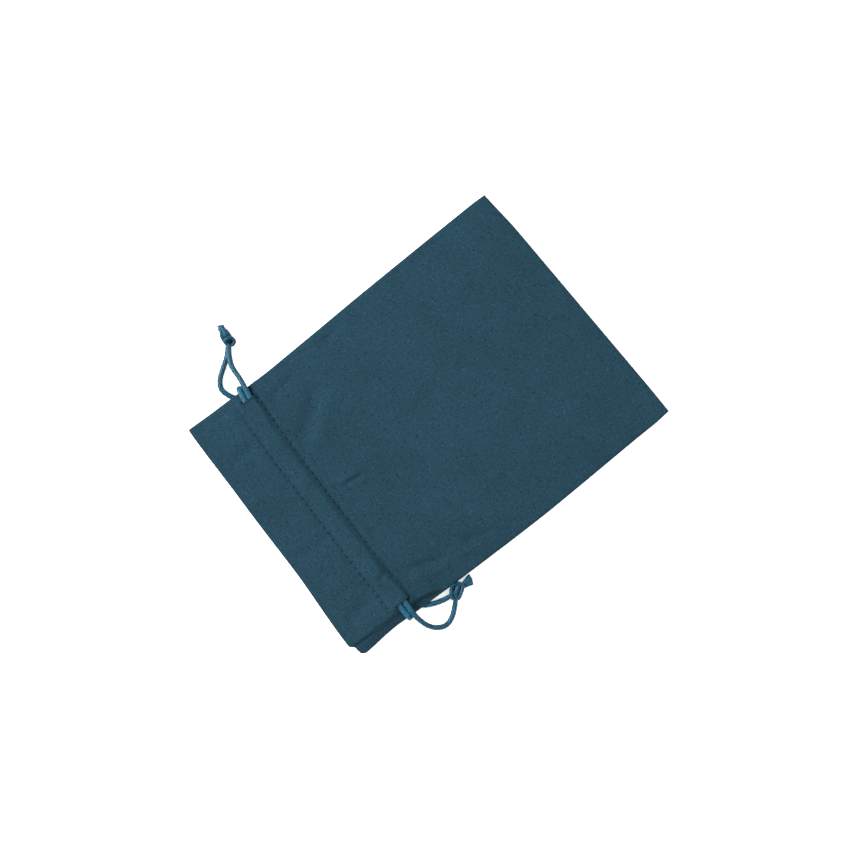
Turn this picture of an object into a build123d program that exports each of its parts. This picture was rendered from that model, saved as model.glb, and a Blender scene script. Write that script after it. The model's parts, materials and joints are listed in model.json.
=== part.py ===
"""Drawstring pouch of plain cotton, lying flat, with two knotted satin cords.

Units are millimetres. +X is right, +Y runs from the mouth to the closed end and +Z is up.
The origin is the centre of the pouch's footprint, on the surface that it lies on.
"""

import os
from math import pi, radians, tan

from build123d import *

# ---------------------------------------------------------------- driving dimensions

# corners of the pouch, which is sewn a little out of square
CLOSED_LEFT = (-76.2, 96.5)
CLOSED_RIGHT = (72.8, 103.5)
MOUTH_RIGHT = (76.2, -103.5)
MOUTH_LEFT = (-72.6, -101.5)

CLOTH = 0.5
CORD = 2.5
CORD_GAP = 0.1
MOUTH_GAP = 4.4

# how far shapes run past the pouch before they are cut to it
PAST = 20.0
BEYOND = 150.0

# the channel that holds the cords, between two rows of stitches
ROW_CLOSED_Y = -62.9
ROW_MOUTH_Y = -75.9
HEM_EDGE_Y = -59.5
HEM_STEP = 3.0
TUNNEL_RISE_Y = (-75.3, -72.5)
TUNNEL_FALL_Y = (-65.4, -63.6)
SLIT_X = 66.2
NOTCH_Y = (-76.5, -57.0)
CORD_Y_CLOSED = -66.4
CORD_Y_MOUTH = -69.4
JOIN_X = 58.5

# levels of the layers at the channel, from the back cloth up
BACK_CORD_Z = CLOTH + CORD_GAP + CORD / 2
BACK_TUNNEL_Z = CLOTH + CORD + 2 * CORD_GAP
FRONT_HEM_Z = BACK_TUNNEL_Z + CLOTH + MOUTH_GAP
FRONT_CORD_Z = FRONT_HEM_Z + CLOTH + CORD_GAP + CORD / 2
FRONT_TUNNEL_Z = FRONT_HEM_Z + CLOTH + CORD + 2 * CORD_GAP
SEAM_Z = (BACK_CORD_Z + FRONT_CORD_Z) / 2

# where the front slopes down to the closed end and to the side seams
CLOSED_SLOPE_Y = 82.0
CLOSED_SLOPE_END_Z = 1.2
SHOULDER_Z = 12.6
SHOULDER_SLOPE = 0.52

# seam allowances, turned inside along three edges
ALLOWANCE = 8.5
LAYERS = 1.6
EDGE_GAP = 0.3
CLOSED_SEAM_Z = 2.8
THREAD_W = 0.5
THREAD_H = 0.3
STITCH_INSET = 2.2
OVERLOCK_W = 0.7
OVERLOCK_H = 1.8
SIDE_SEAM_Y = (-99.5, 84.0)
CLOSED_SEAM_X = (-74.0, 70.5)
ROW_MARGIN = 1.7

# threads that bind the slits, in grooves of the back cloth
SLIT_THREAD_Y = (-72.0, -65.8)
SLIT_THREAD_X = SLIT_X - 0.9
GROOVE_SIDE = 0.2
GROOVE_DEEP = 0.05

# where each cord wraps round the far side's margin
WRAP_OUT = 1.8
WRAP_HIGH = 5.6
WRAP_LEAN = 0.1
RAMP = 5.6

# free ends of the cords, from inside the channel to the knots, laid by hand
LEFT_FRONT_LEAD = [
    (-JOIN_X, CORD_Y_CLOSED, FRONT_CORD_Z),
    (-65.3, CORD_Y_CLOSED, FRONT_CORD_Z),
    (-72.2, -65.1, 9.4),
    (-79.0, -64.4, 7.5),
    (-85.3, -64.1, 5.4),
    (-91.0, -61.7, 4.4),
    (-96.2, -58.2, 4.2),
]
LEFT_BACK_LEAD = [
    (-JOIN_X, CORD_Y_MOUTH, BACK_CORD_Z),
    (-64.3, CORD_Y_MOUTH, BACK_CORD_Z),
    (-69.9, -71.8, 1.6),
    (-75.2, -74.9, 1.35),
    (-80.0, -75.5, 1.25),
    (-84.7, -73.5, 1.25),
    (-88.1, -69.0, 1.25),
    (-91.2, -63.9, 1.25),
    (-94.1, -60.0, 1.25),
    (-97.0, -57.3, 1.6),
]
RIGHT_FRONT_LEAD = [
    (JOIN_X, CORD_Y_MOUTH, FRONT_CORD_Z),
    (65.0, CORD_Y_MOUTH, FRONT_CORD_Z),
    (72.1, -70.1, 9.9),
    (79.2, -69.7, 8.5),
    (85.9, -67.0, 5.4),
    (90.8, -61.9, 2.6),
    (92.1, -55.6, 1.4),
    (89.6, -50.0, 1.25),
    (85.9, -46.5, 1.8),
    (82.3, -43.1, 3.1),
]
RIGHT_BACK_LEAD = [
    (JOIN_X, CORD_Y_CLOSED, BACK_CORD_Z),
    (64.4, CORD_Y_CLOSED, BACK_CORD_Z),
    (70.6, -64.6, 1.6),
    (75.9, -60.4, 1.35),
    (78.7, -54.4, 1.25),
    (80.1, -49.0, 1.4),
    (79.6, -44.4, 2.4),
]

# knots: centre, half length, radius and the turn of the long axis about Z
LEFT_KNOT = ((-99.5, -56.8, 2.75), 5.1, 2.7, 0)
RIGHT_KNOT = ((80.1, -41.4, 3.5), 4.4, 3.5, 90)
TAIL = 1.8
LEFT_TAILS = [
    ((-103.0, -56.1, 3.8), (-106.7, -55.9, 3.4)),
    ((-103.0, -56.6, 1.7), (-105.9, -57.0, 1.3)),
]
RIGHT_TAILS = [
    ((79.2, -38.2, 3.4), (78.4, -31.3, 1.6)),
    ((81.3, -38.2, 3.4), (81.4, -32.0, 1.6)),
]

os.makedirs("parts", exist_ok=True)


def save(builder, node):
    """Label a finished piece and write it as its own file."""
    builder.part.label = node
    export_step(builder.part, f"parts/{node}.step")


# ---------------------------------------------------------------- outline


def along(a, b, y):
    """X on the line from a to b at height y."""
    return a[0] + (b[0] - a[0]) * (y - a[1]) / (b[1] - a[1])


def left_x(y):
    return along(CLOSED_LEFT, MOUTH_LEFT, y)


def right_x(y):
    return along(CLOSED_RIGHT, MOUTH_RIGHT, y)


def closed_y(x):
    """Y on the closed edge at x."""
    left, right = CLOSED_LEFT, CLOSED_RIGHT
    return left[1] + (right[1] - left[1]) * (x - left[0]) / (right[0] - left[0])


def outline(inset, mouth_past=0.0):
    """The four corners, moved in from the sides and the closed end, and out past the mouth."""
    return [
        (CLOSED_LEFT[0] + inset, CLOSED_LEFT[1] - inset),
        (CLOSED_RIGHT[0] - inset, CLOSED_RIGHT[1] - inset),
        (MOUTH_RIGHT[0] - inset, MOUTH_RIGHT[1] - mouth_past),
        (MOUTH_LEFT[0] + inset, MOUTH_LEFT[1] - mouth_past),
    ]


def cut_notches(start=SLIT_X):
    """Take away the cloth beyond both slits, where the cords pass round the margin."""
    low, high = NOTCH_Y
    places = [(side * (start + PAST / 2), (low + high) / 2, 0) for side in (-1, 1)]
    with Locations(*places):
        Box(PAST, high - low, 4 * PAST, mode=Mode.SUBTRACT)


# ---------------------------------------------------------------- cloth

# the underside of the front cloth, seen from the side, from past the mouth to the closed end
CEILING = [
    (MOUTH_RIGHT[1] - PAST, FRONT_HEM_Z + CLOTH),
    (TUNNEL_RISE_Y[0], FRONT_HEM_Z + CLOTH),
    (TUNNEL_RISE_Y[1], FRONT_TUNNEL_Z),
    (TUNNEL_FALL_Y[0], FRONT_TUNNEL_Z),
    (TUNNEL_FALL_Y[1], FRONT_HEM_Z + CLOTH),
    (HEM_EDGE_Y, FRONT_HEM_Z + CLOTH),
    (HEM_EDGE_Y + HEM_STEP, FRONT_HEM_Z),
    (CLOSED_SLOPE_Y, FRONT_HEM_Z),
    (CLOSED_RIGHT[1] + PAST, CLOSED_SLOPE_END_Z),
]
# the same from the front: the edges of the top slope down towards the side seams
SHOULDER = [(SLIT_X, SHOULDER_Z), (SLIT_X + PAST, SHOULDER_Z - SHOULDER_SLOPE * PAST)]


def under_front(inset, thick):
    """The space under the front cloth, grown by thick, with its walls moved in by inset."""
    floor = -PAST if thick else CLOTH
    with BuildPart() as space:
        with BuildSketch(Plane.YZ):
            with BuildLine():
                low = [(CEILING[-1][0], -2 * PAST), (CEILING[0][0], -2 * PAST)]
                Polyline(*CEILING, *low, close=True)
            make_face()
            if thick:
                offset(amount=thick, kind=Kind.INTERSECTION)
        extrude(amount=BEYOND, both=True)
        with BuildSketch(Plane.XY.offset(floor)):
            Polygon(*outline(inset, 0 if thick else PAST), align=None)
        extrude(amount=3 * PAST, mode=Mode.INTERSECT)
        with BuildSketch(Plane.XZ):
            with BuildLine():
                left = [(-x, z) for x, z in reversed(SHOULDER)]
                low = [(SHOULDER[-1][0], -2 * PAST), (-SHOULDER[-1][0], -2 * PAST)]
                Polyline(*left, *SHOULDER, *low, close=True)
            make_face()
            if thick:
                offset(amount=thick, kind=Kind.INTERSECTION)
        extrude(amount=BEYOND, both=True, mode=Mode.INTERSECT)
    return space.part


hollow = under_front(CLOTH, 0.0)
with BuildPart() as front_panel:
    add(under_front(0.0, CLOTH))
    add(hollow, mode=Mode.SUBTRACT)
    split(bisect_by=Plane.XY.offset(CLOTH), keep=Keep.TOP)
    cut_notches()
save(front_panel, "front_panel")

with BuildPart() as back_panel:
    with BuildSketch(Plane.XY):
        Polygon(*outline(0.0), align=None)
    extrude(amount=CLOTH)
    cut_notches()
    low, high = SLIT_THREAD_Y
    groove = (THREAD_W + GROOVE_SIDE, high - low + GROOVE_SIDE, THREAD_H + GROOVE_DEEP)
    with Locations(*[(side * SLIT_THREAD_X, (low + high) / 2, 0) for side in (-1, 1)]):
        Box(*groove, align=(Align.CENTER, Align.CENTER, Align.MIN), mode=Mode.SUBTRACT)
save(back_panel, "back_panel")

HEM_INSET = 4.0
HEM_END_X = 61.5

with BuildPart() as front_hem:
    with BuildSketch(Plane.XY.offset(FRONT_HEM_Z)):
        Polygon(*outline(HEM_INSET), align=None)
    extrude(amount=CLOTH)
    split(bisect_by=Plane.XZ.offset(-HEM_EDGE_Y), keep=Keep.TOP)
    cut_notches(HEM_END_X)
save(front_hem, "front_hem")

# the back hem's underside, seen from the side
BACK_HEM_PROFILE = [
    (MOUTH_RIGHT[1] - PAST, CLOTH),
    (TUNNEL_RISE_Y[0], CLOTH),
    (TUNNEL_RISE_Y[1], BACK_TUNNEL_Z),
    (TUNNEL_FALL_Y[0], BACK_TUNNEL_Z),
    (TUNNEL_FALL_Y[1], CLOTH),
    (HEM_EDGE_Y, CLOTH),
]

with BuildPart() as back_hem:
    with BuildSketch(Plane.YZ):
        with BuildLine():
            Polyline(*BACK_HEM_PROFILE)
            offset(amount=CLOTH, side=Side.LEFT, kind=Kind.INTERSECTION, closed=True)
        make_face()
    extrude(amount=BEYOND, both=True)
    with BuildSketch(Plane.XY):
        Polygon(*outline(HEM_INSET), align=None)
    extrude(amount=PAST, mode=Mode.INTERSECT)
    cut_notches(HEM_END_X)
save(back_hem, "back_hem")

# ---------------------------------------------------------------- seam allowances and threads


def side_strip(side, inset, width, bottom, high):
    """A strip along a side edge, from inset inwards."""
    edge = left_x if side < 0 else right_x
    near = [(edge(y) - side * inset, y) for y in SIDE_SEAM_Y]
    far = [(edge(y) - side * (inset + width), y) for y in reversed(SIDE_SEAM_Y)]
    with BuildPart() as strip:
        with BuildSketch(Plane.XY.offset(bottom)):
            Polygon(*near, *far, align=None)
        extrude(amount=high)
    return strip


def closed_strip(inset, width, bottom, high):
    """A strip along the closed edge, from inset inwards, between the side seams."""
    near = [(x, closed_y(x) - inset) for x in CLOSED_SEAM_X]
    far = [(x, closed_y(x) - inset - width) for x in reversed(CLOSED_SEAM_X)]
    with BuildPart() as strip:
        with BuildSketch(Plane.XY.offset(bottom)):
            Polygon(*near, *far, align=None)
        extrude(amount=high)
    return strip


WALL = CLOTH + EDGE_GAP
for side, name in ((-1, "left"), (1, "right")):
    save(side_strip(side, WALL, ALLOWANCE, SEAM_Z - LAYERS / 2, LAYERS), f"{name}_side_seam")
    thread = side_strip(side, WALL + STITCH_INSET, THREAD_W, SEAM_Z + LAYERS / 2, THREAD_H)
    save(thread, f"{name}_seam_stitching")
    edging = side_strip(side, WALL + ALLOWANCE, OVERLOCK_W, SEAM_Z - OVERLOCK_H / 2, OVERLOCK_H)
    save(edging, f"{name}_seam_overlock")

save(closed_strip(WALL, ALLOWANCE, CLOSED_SEAM_Z - LAYERS / 2, LAYERS), "closed_end_seam")
thread = closed_strip(WALL + STITCH_INSET, THREAD_W, CLOSED_SEAM_Z + LAYERS / 2, THREAD_H)
save(thread, "closed_end_stitching")
edging = closed_strip(WALL + ALLOWANCE, OVERLOCK_W, CLOSED_SEAM_Z - OVERLOCK_H / 2, OVERLOCK_H)
save(edging, "closed_end_overlock")

ROW_LEVELS = {"front": FRONT_HEM_Z + 2 * CLOTH, "back": 2 * CLOTH}
ROWS = {"closed_side": ROW_CLOSED_Y, "mouth_side": ROW_MOUTH_Y}
for face, level in ROW_LEVELS.items():
    for place, y in ROWS.items():
        with BuildPart() as row:
            with BuildSketch(Plane.XY.offset(level)):
                with Locations((0, y)):
                    Rectangle(2 * (SLIT_X - ROW_MARGIN), THREAD_W)
            extrude(amount=THREAD_H)
        save(row, f"{face}_channel_stitching_{place}")

# threads that bind the slits' edges
SLIT_LEVELS = {"front": FRONT_TUNNEL_Z + CLOTH + CORD_GAP, "back": 0.0}
for face, level in SLIT_LEVELS.items():
    for side, name in ((-1, "left"), (1, "right")):
        with BuildPart() as binding:
            with BuildSketch(Plane.XY.offset(level)):
                with Locations((side * SLIT_THREAD_X, sum(SLIT_THREAD_Y) / 2)):
                    Rectangle(THREAD_W, SLIT_THREAD_Y[1] - SLIT_THREAD_Y[0])
            extrude(amount=THREAD_H)
        save(binding, f"{face}_{name}_slit_stitching")

# ---------------------------------------------------------------- cords


BEND_SHARE = 0.45


def bend_radii(points):
    """The largest arc that each corner of the route has room for."""
    corners = [Vector(*p) for p in points]
    runs = [b - a for a, b in zip(corners, corners[1:])]
    radii = []
    for before, after in zip(runs, runs[1:]):
        shorter = min(before.length, after.length)
        radii.append(BEND_SHARE * shorter / tan(radians(before.get_angle(after)) / 2))
    return radii


def cord(points, diameter):
    """A cord along straight runs joined by tangent arcs."""
    with BuildPart() as tube:
        with BuildLine() as route:
            FilletPolyline(*points, radius=bend_radii(points))
        path = route.wires()[0]
        with BuildSketch(Plane(origin=path @ 0, z_dir=path % 0)):
            Circle(diameter / 2)
        sweep(path=path)
    return tube, path.length


def wrapped_run(side, front_y, back_y):
    """The route of a cord in its channel: along the front, round one margin, along the back."""
    edge = (left_x if side < 0 else right_x)(front_y) - side * WALL
    turn_x = edge + side * WRAP_OUT
    level_x = turn_x - side * RAMP
    slope_x = level_x - side * RAMP
    lift = (WRAP_HIGH / 2, -WRAP_HIGH / 2)
    lean = WRAP_LEAN if back_y > front_y else -WRAP_LEAN
    return [
        (-side * JOIN_X, front_y, FRONT_CORD_Z),
        (slope_x, front_y, FRONT_CORD_Z),
        (level_x, front_y, SEAM_Z + lift[0]),
        (turn_x, front_y + lean, SEAM_Z + lift[0]),
        (turn_x, back_y - lean, SEAM_Z + lift[1]),
        (level_x, back_y, SEAM_Z + lift[1]),
        (slope_x, back_y, BACK_CORD_Z),
        (-side * JOIN_X, back_y, BACK_CORD_Z),
    ]


CORDS = {
    "left_cord_channel_run": wrapped_run(1, CORD_Y_CLOSED, CORD_Y_MOUTH),
    "right_cord_channel_run": wrapped_run(-1, CORD_Y_MOUTH, CORD_Y_CLOSED),
    "left_cord_front_lead": LEFT_FRONT_LEAD,
    "left_cord_back_lead": LEFT_BACK_LEAD,
    "right_cord_front_lead": RIGHT_FRONT_LEAD,
    "right_cord_back_lead": RIGHT_BACK_LEAD,
}
for node, route in CORDS.items():
    tube, length = cord(route, CORD)
    save(tube, node)
    share = tube.part.volume / (pi * CORD**2 / 4 * length)
    radii = ", ".join(f"{r:.1f}" for r in bend_radii(route))
    print(f"{node}: length {length:.1f}, volume share {share:.4f}, radii {radii}")

# ---------------------------------------------------------------- knots and tails


def knot(centre, half_length, radius, turn):
    """A closed egg of the knot's outer shape, long along its own X before the turn."""
    with BuildPart() as ball:
        with BuildSketch(Plane(origin=centre, x_dir=Vector(1, 0, 0).rotate(Axis.Z, turn))):
            with BuildLine():
                EllipticalCenterArc((0, 0), half_length, radius, start_angle=0, arc_size=180)
                Line((-half_length, 0), (half_length, 0))
            make_face()
        revolve(axis=Axis(centre, Vector(1, 0, 0).rotate(Axis.Z, turn)))
    return ball


def tail(start, end, diameter):
    """A short straight cord end."""
    with BuildPart() as stub:
        with BuildSketch(Plane(origin=start, z_dir=Vector(*end) - Vector(*start))):
            Circle(diameter / 2)
        extrude(amount=(Vector(*end) - Vector(*start)).length)
    return stub


save(knot(*LEFT_KNOT), "left_knot")
save(knot(*RIGHT_KNOT), "right_knot")
for name, tails in (("left", LEFT_TAILS), ("right", RIGHT_TAILS)):
    for number, (start, end) in enumerate(tails, 1):
        save(tail(start, end, TAIL), f"{name}_cord_tail_{number}")
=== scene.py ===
"""Looks of a cotton drawstring pouch with two knotted satin cords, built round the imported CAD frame.

Units are metres, in the CAD frame: +X is right, +Y runs from the mouth to the closed end, +Z is up.
"""

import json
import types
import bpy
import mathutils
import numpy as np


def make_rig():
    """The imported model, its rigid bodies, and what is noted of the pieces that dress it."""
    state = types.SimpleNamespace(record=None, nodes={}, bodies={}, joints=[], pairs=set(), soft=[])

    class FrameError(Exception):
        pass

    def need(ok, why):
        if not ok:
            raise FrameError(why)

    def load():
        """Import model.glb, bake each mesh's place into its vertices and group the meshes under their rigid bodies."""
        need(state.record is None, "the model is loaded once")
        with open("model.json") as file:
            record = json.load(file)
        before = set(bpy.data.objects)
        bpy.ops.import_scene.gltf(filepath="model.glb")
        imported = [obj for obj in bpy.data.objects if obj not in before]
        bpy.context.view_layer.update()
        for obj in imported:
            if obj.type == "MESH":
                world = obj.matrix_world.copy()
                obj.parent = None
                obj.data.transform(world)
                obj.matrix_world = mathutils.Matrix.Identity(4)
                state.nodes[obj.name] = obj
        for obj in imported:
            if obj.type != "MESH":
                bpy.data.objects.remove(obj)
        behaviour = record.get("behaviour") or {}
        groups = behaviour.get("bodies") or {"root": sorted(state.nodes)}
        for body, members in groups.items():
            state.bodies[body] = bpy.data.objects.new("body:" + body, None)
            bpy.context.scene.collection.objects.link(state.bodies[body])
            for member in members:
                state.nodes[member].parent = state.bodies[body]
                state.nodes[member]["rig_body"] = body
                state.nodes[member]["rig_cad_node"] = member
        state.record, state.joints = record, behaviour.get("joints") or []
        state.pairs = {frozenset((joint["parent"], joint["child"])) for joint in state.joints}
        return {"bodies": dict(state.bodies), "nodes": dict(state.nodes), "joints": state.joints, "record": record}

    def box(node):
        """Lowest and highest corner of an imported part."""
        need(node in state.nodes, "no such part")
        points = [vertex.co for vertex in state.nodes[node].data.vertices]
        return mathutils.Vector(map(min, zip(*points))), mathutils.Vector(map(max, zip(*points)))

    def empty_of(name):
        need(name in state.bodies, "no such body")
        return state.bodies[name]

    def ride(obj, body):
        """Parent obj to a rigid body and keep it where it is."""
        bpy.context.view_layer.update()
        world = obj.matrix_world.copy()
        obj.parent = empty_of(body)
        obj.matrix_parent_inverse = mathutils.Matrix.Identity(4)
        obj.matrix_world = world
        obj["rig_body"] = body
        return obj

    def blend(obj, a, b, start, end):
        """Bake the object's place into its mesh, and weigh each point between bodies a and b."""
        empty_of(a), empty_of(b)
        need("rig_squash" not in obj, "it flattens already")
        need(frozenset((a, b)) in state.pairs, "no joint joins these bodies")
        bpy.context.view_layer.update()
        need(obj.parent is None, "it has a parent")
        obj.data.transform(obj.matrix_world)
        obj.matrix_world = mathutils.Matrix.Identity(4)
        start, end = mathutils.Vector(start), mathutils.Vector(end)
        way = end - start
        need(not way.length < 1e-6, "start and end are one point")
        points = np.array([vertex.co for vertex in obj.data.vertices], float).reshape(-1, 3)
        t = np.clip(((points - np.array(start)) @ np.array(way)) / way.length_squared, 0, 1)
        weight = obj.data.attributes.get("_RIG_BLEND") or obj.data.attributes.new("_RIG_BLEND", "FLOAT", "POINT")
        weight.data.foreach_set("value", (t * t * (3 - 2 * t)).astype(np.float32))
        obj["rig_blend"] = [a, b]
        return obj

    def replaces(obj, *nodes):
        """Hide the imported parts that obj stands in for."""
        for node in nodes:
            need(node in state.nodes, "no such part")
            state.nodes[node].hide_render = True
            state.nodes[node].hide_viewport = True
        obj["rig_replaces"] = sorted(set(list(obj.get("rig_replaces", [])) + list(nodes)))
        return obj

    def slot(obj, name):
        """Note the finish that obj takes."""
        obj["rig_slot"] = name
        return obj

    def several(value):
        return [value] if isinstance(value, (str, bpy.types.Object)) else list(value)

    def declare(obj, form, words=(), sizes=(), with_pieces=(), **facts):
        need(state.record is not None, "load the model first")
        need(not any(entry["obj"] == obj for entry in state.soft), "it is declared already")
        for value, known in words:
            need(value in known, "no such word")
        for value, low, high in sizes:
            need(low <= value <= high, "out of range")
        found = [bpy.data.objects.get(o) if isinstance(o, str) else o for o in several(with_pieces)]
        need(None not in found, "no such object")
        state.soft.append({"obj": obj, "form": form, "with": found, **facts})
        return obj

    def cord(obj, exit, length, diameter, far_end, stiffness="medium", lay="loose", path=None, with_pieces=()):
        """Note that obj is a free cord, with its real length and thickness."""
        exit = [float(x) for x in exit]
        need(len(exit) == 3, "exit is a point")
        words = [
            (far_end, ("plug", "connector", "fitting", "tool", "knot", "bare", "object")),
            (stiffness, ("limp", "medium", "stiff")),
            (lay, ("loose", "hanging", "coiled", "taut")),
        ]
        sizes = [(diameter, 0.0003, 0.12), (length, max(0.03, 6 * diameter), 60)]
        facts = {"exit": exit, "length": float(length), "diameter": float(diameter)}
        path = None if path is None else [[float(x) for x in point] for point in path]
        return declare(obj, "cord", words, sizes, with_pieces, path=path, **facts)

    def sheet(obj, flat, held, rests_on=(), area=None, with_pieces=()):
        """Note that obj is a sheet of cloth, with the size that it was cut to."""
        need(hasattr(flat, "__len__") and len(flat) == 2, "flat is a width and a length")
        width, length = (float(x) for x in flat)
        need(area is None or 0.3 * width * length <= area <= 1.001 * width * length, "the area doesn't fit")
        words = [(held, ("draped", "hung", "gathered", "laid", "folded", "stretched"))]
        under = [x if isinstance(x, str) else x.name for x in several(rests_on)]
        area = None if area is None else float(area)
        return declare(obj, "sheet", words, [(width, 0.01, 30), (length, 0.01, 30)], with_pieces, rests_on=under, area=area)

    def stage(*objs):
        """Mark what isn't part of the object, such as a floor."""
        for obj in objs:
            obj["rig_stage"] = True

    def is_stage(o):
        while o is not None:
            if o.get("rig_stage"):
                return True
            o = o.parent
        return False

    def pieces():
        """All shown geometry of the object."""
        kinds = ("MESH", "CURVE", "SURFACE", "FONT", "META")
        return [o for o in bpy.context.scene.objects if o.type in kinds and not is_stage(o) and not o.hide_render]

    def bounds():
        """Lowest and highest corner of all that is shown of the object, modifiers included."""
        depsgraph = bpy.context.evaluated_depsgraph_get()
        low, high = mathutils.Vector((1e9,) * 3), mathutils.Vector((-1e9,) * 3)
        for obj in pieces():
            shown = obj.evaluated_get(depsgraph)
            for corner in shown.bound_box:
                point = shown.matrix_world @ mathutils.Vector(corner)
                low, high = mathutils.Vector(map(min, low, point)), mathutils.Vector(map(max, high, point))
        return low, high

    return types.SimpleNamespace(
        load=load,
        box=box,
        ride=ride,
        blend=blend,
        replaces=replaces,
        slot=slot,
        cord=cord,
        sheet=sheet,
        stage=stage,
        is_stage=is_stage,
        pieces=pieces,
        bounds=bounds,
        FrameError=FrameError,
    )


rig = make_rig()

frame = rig.load()
cad_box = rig.bounds()

import json
import math

import bpy
import numpy as np
from mathutils import Vector

MM = 0.001

# ---- driving dimensions

CLOTH = 0.5 * MM
CORD = 2.5 * MM
KNOT_CORD = 2.15 * MM
LAYER_GAP = 0.05 * MM

# the outline's corners, read from the back panel's flat cloth
corner_points = np.array([v.co for v in frame["nodes"]["back_panel"].data.vertices])


def corner(right, up):
    """The back panel's furthest corner in that direction, as (x, y)."""
    best = corner_points[np.argmax(corner_points @ np.array([right, up, 0.0]))]
    return float(best[0]), float(best[1])


CLOSED_LEFT, CLOSED_RIGHT = corner(-1, 1), corner(1, 1)
MOUTH_RIGHT, MOUTH_LEFT = corner(1, -1), corner(-1, -1)
HALF_WIDTH = 75 * MM
MOUTH_Y, CLOSED_Y = -103.5 * MM, 100.0 * MM

# places along Y
ROW_CLOSED_Y, ROW_MOUTH_Y = -62.9 * MM, -75.9 * MM
HEM_EDGE_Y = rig.box("front_hem")[1].y
SLIT_X = 66.6 * MM
SLIT_Y = (-72.0 * MM, -61.8 * MM)
TUNNEL_Y = (-71.2 * MM, -64.6 * MM)
TUNNEL_DRIFT = -2.3 * MM
CHANNEL_Y = -68.0 * MM

# levels
HEADER_TOP = 9.1 * MM
BODY_TOP = 8.1 * MM
TUNNEL_TOP = 10.95 * MM
BACK_TUNNEL_TOP = 3.3 * MM
FRONT, BACK = 9.55, 1.6
FRONT_CORD_Z, BACK_CORD_Z = FRONT * MM, BACK * MM
EDGE_THICK = 1.1 * MM
ROLL = 1.5 * MM

STITCH = 3.8 * MM
LAST_HOLE_X = 64.6 * MM
THREAD_R = 0.17 * MM


def smooth(t):
    """0 below 0, 1 above 1, and a smooth step between."""
    t = np.clip(t, 0.0, 1.0)
    return t * t * (3 - 2 * t)


def slope(t):
    """From 0 to 1, straighter than smooth."""
    return 0.35 * smooth(t) + 0.65 * np.clip(t, 0, 1)


def ease(value, start, run):
    """A smooth step from 0 at start to 1 at start + run, both in millimetres."""
    return smooth((value - start * MM) / (run * MM))


def bell(t):
    return np.exp(-t * t)


def hump(value, at, width):
    """1 at a place and 0 well away from it; at and width are in millimetres."""
    return bell((value - at * MM) / (width * MM))


def stack(*parts):
    return np.stack(parts, axis=-1)


def side_of(name):
    return -1 if name == "left" else 1


def add_object(name, data):
    thing = bpy.data.objects.new(name, data)
    bpy.context.scene.collection.objects.link(thing)
    return thing


# ---- camera

CAMERA_AT = (0.42 * MM, -1.72 * MM, 1063 * MM)
CAMERA_TURN = math.radians(52.55)


def add_camera():
    data = bpy.data.cameras.new("camera")
    data.lens = 85
    data.sensor_width = 36
    camera = add_object("camera", data)
    camera.location = CAMERA_AT
    camera.rotation_euler = (0, 0, CAMERA_TURN)
    bpy.context.scene.camera = camera


add_camera()

# ---- materials


class Nodes:
    """A short way to write a node tree."""

    def __init__(self, name):
        self.material = bpy.data.materials.new(name)
        self.material.use_nodes = True
        self.tree = self.material.node_tree
        self.shader = self.tree.nodes["Principled BSDF"]

    def add(self, kind, **settings):
        node = self.tree.nodes.new("ShaderNode" + kind)
        for key, value in settings.items():
            setattr(node, key, value)
        return node

    def link(self, source, target):
        self.tree.links.new(source, target)

    def put(self, value, target):
        if isinstance(value, bpy.types.NodeSocket):
            self.link(value, target)
        else:
            target.default_value = value

    def math(self, operation, a, b=0.0):
        node = self.add("Math", operation=operation)
        self.put(a, node.inputs[0])
        self.put(b, node.inputs[1])
        return node.outputs[0]

    def times(self, *values):
        """The product of two or more values."""
        total = values[0]
        for value in values[1:]:
            total = self.math("MULTIPLY", total, value)
        return total

    def vector(self, x, y, z=0.0):
        node = self.add("CombineXYZ")
        for value, target in zip((x, y, z), node.inputs):
            self.put(value, target)
        return node.outputs[0]

    def noise(self, vector, scale):
        node = self.add("TexNoise")
        self.put(vector, node.inputs["Vector"])
        node.inputs["Scale"].default_value = scale
        return node.outputs["Fac"]

    def streaks(self, x, y, across, along, place=0.0):
        """Noise with so many waves to the metre across and along; place picks another stretch of it."""
        return self.noise(self.vector(self.times(x, across), self.times(y, along), place), 1.0)

    def ramp(self, value, low, high, start, end):
        node = self.add("MapRange")
        self.put(value, node.inputs["Value"])
        for target, number in zip(node.inputs[1:5], (low, high, start, end)):
            target.default_value = number
        return node.outputs["Result"]

    def uv(self):
        """The flat coordinates of a piece, in metres."""
        split = self.add("SeparateXYZ")
        self.link(self.add("UVMap", uv_map="flat").outputs["UV"], split.inputs[0])
        return split.outputs[0], split.outputs[1]

    def shade(self, colour, factor):
        """The colour times a factor, as the base colour."""
        mix = self.add("VectorMath", operation="SCALE")
        mix.inputs[0].default_value = colour
        self.put(factor, mix.inputs["Scale"])
        self.link(mix.outputs[0], self.shader.inputs["Base Color"])

    def bump(self, height, distance, strength):
        node = self.add("Bump")
        node.inputs["Strength"].default_value = strength
        node.inputs["Distance"].default_value = distance
        self.put(height, node.inputs["Height"])
        self.link(node.outputs["Normal"], self.shader.inputs["Normal"])

    def finish(self, roughness, specular):
        self.shader.inputs["Roughness"].default_value = roughness
        self.shader.inputs["Specular IOR Level"].default_value = specular
        return self.material


YARN = 0.8 * MM
SPECK = 0.55 * MM
# how far painted shade darkens the cloth in the needle holes
PIT_SHADE = 0.8
CLOTH_COLOUR = (0.0118, 0.0364, 0.0548)
CORD_COLOUR = (0.0065, 0.0460, 0.0790)
THREAD_COLOUR = (0.0120, 0.0370, 0.0540)
OVERLOCK_COLOUR = (0.0130, 0.0400, 0.0580)
FLOOR_COLOUR = (0.9, 0.9, 0.9)
FLOOR_GLOW = 0.55


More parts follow.
